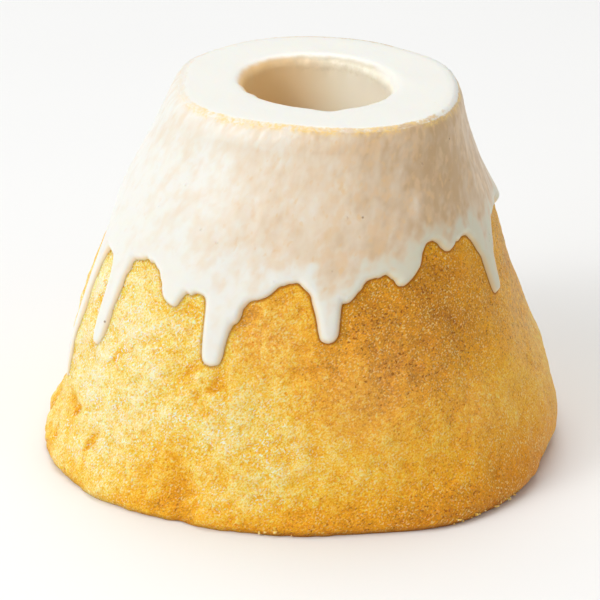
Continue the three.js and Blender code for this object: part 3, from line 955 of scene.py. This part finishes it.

FLAKE_AND_HIGHLIGHT = rgb(1.0, 0.89, 0.70)
CREAM_GLINT_PAINT = rgb(1.0, 0.96, 0.86)
PALE_CRUMB = rgb(1.0, 0.78, 0.31)
YELLOW_GLINT_PAINT = rgb(1.0, 0.80, 0.33)
GOLD_CRUMB = rgb(0.95, 0.59, 0.060)
AMBER_CRUMB = rgb(0.88, 0.405, 0.0135)
BROWN_CRUMB = rgb(0.66, 0.290, 0.0185)
PIT_SHADE_CRUMB = rgb(0.40, 0.13, 0.010)
SHADOW_AND_MOIST_CRUMB = rgb(0.50, 0.155, 0.007)
TOAST_CRUMB = rgb(0.80, 0.27, 0.010)
DUST_AND_SHEEN_CRUMB = rgb(0.80, 0.48, 0.28)
HOLE_TAN = rgb(0.86, 0.60, 0.28)


def crust_material():
    """Golden crumb whose bake runs from pale over gold and amber to brown: shifted by slanting grain and
    by the lumps, whose tops are painted paler and whose folds darker as painted light and shade; soft
    cavities and small dark pits darkened as painted shade; grains painted pale as glints, which are
    painted highlights; redder where it is toasted, duller where floury and where a grazing sheen is
    painted, and dark along the icing's edge, partly moist crumb and partly painted contact shadow,
    and under the foot as painted shade."""
    material, tree = new_material("golden_crumb")
    at = millimetres(tree)
    turned = {"Vector": at, "Axis": (0.0, 1.0, 0.0), "Angle": FOLDS["slant"]}
    drawn = {0: put(tree, "ShaderNodeVectorRotate", turned).outputs[0], 1: GRAIN_DRAWN}
    slant = put(tree, "ShaderNodeVectorMath", drawn, operation="MULTIPLY").outputs[0]
    grain = noise(tree, slant, 1.1, 2.0, 0.6)
    speckle = noise(tree, slant, 2.9, 1.0)
    mottle = use(tree, MOTTLE, {"Place": at, "Slow": 0.12, "Quick": 0.5})
    cavities = graded(tree, noise(tree, slant, 0.75, 1.0), 0.40, 0.28)
    crowded = graded(tree, noise(tree, at, 0.2, 2.0), 0.36, 0.62)
    pits = graded(tree, noise(tree, slant, 2.0, 0.0), 0.36, 0.25)
    pits = times(tree, pits, graded(tree, crowded, 0.0, 1.0, 1.0, 0.35))
    glints = graded(tree, noise(tree, slant, 2.5, 0.0), 0.60, 0.70)
    glints = times(tree, glints, graded(tree, crowded, 0.0, 1.0, 0.4, 1.0))
    dust_and_sheen = mark_value(tree, "dust_and_sheen")
    floury = times(tree, dust_and_sheen, number(tree, "SUBTRACT", noise(tree, at, 0.75, 2.0), 0.5))
    raised = mark_value(tree, "raised")
    folded = mark_value(tree, "folded")
    baked = mark_value(tree, "baked")
    # Pits are darkened towards brown: painted shade in them
    sunk = times(tree, pits, graded(tree, baked, 0.8, 3.0, 0.5, 2.0))
    # Raised lumps are painted paler and folds darker: painted light and shade
    tone = blend(tree, (baked, 1.0), (raised, -0.7), (mottle, 0.15), (folded, 0.7), (sunk, 1.0))
    tone = blend(tree, (tone, 1.0), (grain, -1.6), (speckle, -4.2), (floury, 26.0), (1.0, 2.84))

    # The palest stop stands partly for painted highlights on lump tops, the darkest for painted shade in
    # pits
    stops = (
        (-1.2, FLAKE_AND_HIGHLIGHT),
        (0.0, PALE_CRUMB),
        (1.0, GOLD_CRUMB),
        (2.0, AMBER_CRUMB),
        (3.2, BROWN_CRUMB),
        (4.6, PIT_SHADE_CRUMB),
    )
    colour = ramped(tree, tone, stops)
    colour = tinted(tree, mark_value(tree, "toasted"), colour, TOAST_CRUMB)
    # Cavities tinted amber: painted shade in them
    colour = tinted(tree, times(tree, cavities, 0.35), colour, AMBER_CRUMB)
    # Pale grains painted as glints: painted highlights, which the coat also makes glossy
    glint_colour = tinted(tree, graded(tree, baked, 0.2, 1.7), CREAM_GLINT_PAINT, YELLOW_GLINT_PAINT)
    glint_share = times(tree, glints, graded(tree, baked, 0.0, 1.6, 1.0, 0.65))
    colour = tinted(tree, glint_share, colour, glint_colour)
    # Dull floury crumb and a painted grazing sheen, kept off the pits
    between_pits = number(tree, "SUBTRACT", 1.0, pits)
    colour = tinted(tree, times(tree, dust_and_sheen, between_pits), colour, DUST_AND_SHEEN_CRUMB)
    # A dark line along the icing's edge: partly moist crumb, partly painted contact shadow
    by_icing = graded(tree, mark_value(tree, "by_icing"), 0.0, 0.55, 1.0, 0.0)
    by_icing = times(tree, by_icing, graded(tree, baked, 0.0, 1.8, 0.25, 0.85))
    colour = tinted(tree, by_icing, colour, SHADOW_AND_MOIST_CRUMB)
    # A dark line under the foot: painted shade
    foot_shade = times(tree, mark_value(tree, "foot_shade"), graded(tree, baked, 1.2, 2.6, 0.3, 0.8))
    colour = tinted(tree, foot_shade, colour, PIT_SHADE_CRUMB)
    colour = tinted(tree, mark_value(tree, "hole_wall"), colour, HOLE_TAN)

    height = blend(tree, (grain, 0.22), (speckle, 0.2), (cavities, -0.12), (pits, -0.18), (glints, 0.12))
    bump = put(tree, "ShaderNodeBump", {"Strength": 1.0, "Distance": MM, "Height": height})
    surface(
        tree,
        {
            "Base Color": colour,
            "Roughness": graded(tree, grain, 0.3, 0.7, 0.45, 0.65),
            "Specular IOR Level": 0.1,
            "Sheen Weight": 0.05,
            "Sheen Roughness": 0.5,
            "Coat Weight": times(tree, glints, 0.25),
            "Coat Roughness": 0.2,
            "Normal": bump.outputs[0],
            "Subsurface Weight": graded(tree, mark_value(tree, "loose"), 0.0, 1.0, 0.8, 0.0),
            "Subsurface Radius": (1.0, 0.4, 0.15),
            "Subsurface Scale": 2.2 * MM,
        },
    )
    return material


WHITE_ICING = rgb(0.84, 0.832, 0.775)
SHADED_IVORY_ICING = rgb(0.70, 0.67, 0.53)
CREAM_ICING = rgb(0.81, 0.69, 0.54)
TAN_ICING = rgb(0.63, 0.44, 0.25)
BLUSH_ICING = rgb(0.79, 0.58, 0.36)
FLECK_ICING = rgb(0.79, 0.565, 0.30)
RIM_CRUMB = rgb(0.90, 0.66, 0.25)
LINE_GLOW_ICING = rgb(0.90, 0.61, 0.26)
LIP_SHADED_TAN = rgb(0.92, 0.62, 0.30)
LIP_LIT_CREAM = rgb(0.72, 0.65, 0.49)
LINING_SHADED_TAN = rgb(0.96, 0.63, 0.28)
LINING_LIT_CREAM = rgb(1.0, 0.97, 0.82)
PINHOLE = rgb(0.36, 0.22, 0.12)


def icing_material():
    """White icing: opaque where it has gathered, and clouded with cream and tan down the flank where
    the cake shows through, more so to the right, where it is also painted darker as painted shade;
    crumb along the top's edge, a warm line at its lower edge, partly crumb through thin icing and
    partly a painted glow, tan in the hole with painted shade on its left wall and painted light on its
    right, pinholes and low bubbles."""
    material, tree = new_material("white_icing")
    at = millimetres(tree)
    aslant = put(tree, "ShaderNodeAttribute", attribute_name="clouds").outputs["Vector"]
    clouds = use(tree, MOTTLE, {"Place": aslant, "Slow": 0.10, "Quick": 0.34})
    streaks = noise(tree, aslant, 0.45, 1.0)
    blush = use(tree, MOTTLE, {"Place": aslant, "Slow": 0.15, "Quick": 0.5})
    ragged = noise(tree, at, 0.55, 4.0, 0.7)
    thinned_and_shaded = mark_value(tree, "thinned_and_shaded")
    to_right = mark_value(tree, "to_right")
    drawn_down = graded(tree, to_right, 0.75, 1.0, 0.0, -0.9)
    down = mark_value(tree, "from_rim")
    from_rim = blend(tree, (down, 1.0), (ragged, 2.2), (drawn_down, 1.0))
    on_flank = graded(tree, from_rim, 0.5, 1.3)
    inside = mark_value(tree, "inside")
    gathered = blend(tree, (inside, -1.0), (clouds, -4.5), (mark_value(tree, "blobs"), 8.0))
    thin = times(tree, on_flank, graded(tree, gathered, -9.5, -4.0, 1.0, 0.0))
    higher = blend(tree, (down, -0.006), (1.0, -0.29))
    tone = blend(tree, (thinned_and_shaded, 1.0), (clouds, 0.34), (streaks, 0.3), (higher, 1.0), (1.0, 0.05))
    # The right side painted darker ivory: painted shade
    right_shade = times(tree, on_flank, graded(tree, thinned_and_shaded, 0.4, 0.9))
    colour = tinted(tree, right_shade, WHITE_ICING, SHADED_IVORY_ICING)
    colour = tinted(tree, times(tree, thin, graded(tree, tone, -0.15, 0.5)), colour, CREAM_ICING)
    colour = tinted(tree, times(tree, thin, graded(tree, tone, 0.35, 1.1)), colour, TAN_ICING)
    rosy = times(tree, thin, graded(tree, blush, 0.45, 1.0))
    rosy = times(tree, rosy, graded(tree, thinned_and_shaded, 0.1, 0.7, 0.05, 0.65))
    colour = tinted(tree, rosy, colour, BLUSH_ICING)
    flecks = times(tree, thin, graded(tree, noise(tree, aslant, 0.6, 1.0), 0.60, 0.76))
    flecks = times(tree, flecks, graded(tree, thinned_and_shaded, 0.15, 0.5, 0.1, 0.5))
    colour = tinted(tree, flecks, colour, FLECK_ICING)
    crumbly = graded(tree, noise(tree, at, 0.35, 2.0), 0.34, 0.54)
    crumbs = graded(tree, noise(tree, at, 1.3, 1.0), 0.40, 0.58, 0.35, 1.0)
    below_edge = times(tree, on_flank, graded(tree, from_rim, 0.9, 2.8, 1.0, 0.0))
    shown = graded(tree, mark_value(tree, "to_front"), 0.4, 0.75, 0.08, 0.9)
    rim = times(tree, times(tree, below_edge, crumbly), shown)
    colour = tinted(tree, times(tree, rim, crumbs), colour, RIM_CRUMB)
    # A warm edge: partly crumb showing through thin icing, partly a painted glow of light through it
    edge_glow = graded(tree, inside, 0.0, 1.15, 0.75, 0.0)
    colour = tinted(tree, edge_glow, colour, LINE_GLOW_ICING)
    # The tan lining with painted shade on its left wall and painted light on its right, white at the lip's
    # far right
    lining = tinted(tree, graded(tree, to_right, 0.12, 0.8), LINING_SHADED_TAN, LINING_LIT_CREAM)
    into_hole = blend(tree, (mark_value(tree, "lining"), 1.0), (ragged, 0.6))
    lined = graded(tree, into_hole, 0.35, 1.2)
    lip = tinted(tree, graded(tree, to_right, 0.12, 0.6), LIP_SHADED_TAN, LIP_LIT_CREAM)
    lip = tinted(tree, graded(tree, to_right, 0.86, 1.0), lip, WHITE_ICING)
    lining = tinted(tree, graded(tree, into_hole, 0.95, 1.45), lip, lining)
    colour = tinted(tree, times(tree, lined, 0.95), colour, lining)
    pinholes = use(tree, DOTS, {"Place": at, "Scale": 0.15, "Share": 0.14, "Size": 0.04})
    pinholes = times(tree, pinholes, on_flank)
    colour = tinted(tree, times(tree, pinholes, 0.8), colour, PINHOLE)
    bubbles = use(tree, DOTS, {"Place": at, "Scale": 0.3, "Share": 0.2, "Size": 0.10})
    rough_edge = times(tree, below_edge, ragged)
    height = blend(tree, (bubbles, 0.12), (pinholes, -0.2), (streaks, 0.06), (rough_edge, 0.15))
    bump = put(tree, "ShaderNodeBump", {"Strength": 1.0, "Distance": MM, "Height": height})
    surface(
        tree,
        {
            "Base Color": colour,
            "Roughness": graded(tree, streaks, 0.3, 0.7, 0.28, 0.40),
            "Specular IOR Level": 0.35,
            "Normal": bump.outputs[0],
            "Subsurface Weight": graded(tree, lined, 0.0, 1.0, 0.9, 0.2),
            "Subsurface Radius": (1.0, 0.8, 0.6),
            "Subsurface Scale": 1.4 * MM,
        },
    )
    return material


FLOOR_WHITE = rgb(0.88, 0.88, 0.87)


def floor_material():
    """A plain pale floor with a faint unevenness in its sheen."""
    material, tree = new_material("pale_floor")
    cloud = noise(tree, millimetres(tree), 0.004, 2.0)
    sheen = graded(tree, cloud, 0.3, 0.7, 0.5, 0.6)
    surface(tree, {"Base Color": FLOOR_WHITE, "Roughness": sheen})
    return material


# Stage, lights and camera

def make_floor(half=6000.0, cells=8):
    """A flat square grid at height 0."""
    line = np.linspace(-half, half, cells + 1)
    x, y = np.meshgrid(line, line, indexing="ij")
    index = np.arange((cells + 1) ** 2).reshape(cells + 1, cells + 1)
    faces = np.stack([index[:-1, :-1], index[1:, :-1], index[1:, 1:], index[:-1, 1:]], axis=-1)
    points = np.stack([x, y, np.zeros_like(x)], axis=-1)
    floor = solid("floor", points.reshape(-1, 3), faces.reshape(-1, 4))
    floor.data.materials.append(floor_material())
    return floor


def make_light(name, at, size, watts):
    """A square soft light at a place in millimetres, facing the middle of the cake."""
    light = bpy.data.lights.new(name, "AREA")
    light.energy = watts
    light.size = size * MM
    lamp = bpy.data.objects.new(name, light)
    lamp.location = Vector(at) * MM
    way = Vector((0, 0, CAKE_HEIGHT / 2)) - Vector(at)
    lamp.rotation_euler = way.to_track_quat("-Z", "Y").to_euler()
    bpy.context.collection.objects.link(lamp)


def make_sky(strength):
    """An even white surround."""
    world = bpy.data.worlds.new("white_room")
    world.use_nodes = True
    world.node_tree.nodes["Background"].inputs["Color"].default_value = rgb(1.0, 1.0, 1.0)
    world.node_tree.nodes["Background"].inputs["Strength"].default_value = strength
    bpy.context.scene.world = world


def make_camera():
    """The camera on a circle round the cake at the photograph's angle, looking a little below its middle."""
    data = bpy.data.cameras.new("camera")
    data.sensor_width = SENSOR_WIDTH
    data.lens = FOCAL_PIXELS / FRAME_PIXELS * SENSOR_WIDTH
    data.clip_start = CAMERA_SEES[0] * MM
    data.clip_end = CAMERA_SEES[1] * MM
    camera = bpy.data.objects.new("camera", data)
    rise = math.radians(CAMERA_ELEVATION)
    back, up = CAMERA_DISTANCE * math.cos(rise), CAMERA_DISTANCE * math.sin(rise)
    eye = Vector((CAMERA_SIDE, -back, CAMERA_HEIGHT_OF_ORBIT + up))
    aim = Vector((CAMERA_SIDE, 0, CAMERA_AIM_HEIGHT))
    camera.location = eye * MM
    camera.rotation_euler = (aim - eye).to_track_quat("-Z", "Y").to_euler()
    bpy.context.collection.objects.link(camera)
    bpy.context.scene.camera = camera


# Putting it together

cake = make_cake()
cake.data.materials.append(crust_material())
icing = make_icing()
icing.data.materials.append(icing_material())
crumbs = make_crumbs()
crumbs.data.materials.append(cake.data.materials[0])

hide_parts("cake")
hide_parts("icing")
for piece, slot in ((cake, "crust"), (icing, "icing"), (crumbs, "crust")):
    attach(piece, "root")

make_floor()
make_sky(SKY_STRENGTH)
for name, at, size, watts in LAMPS:
    make_light(name, at, size, watts)
bpy.context.scene.view_settings.view_transform = "Standard"
make_camera()
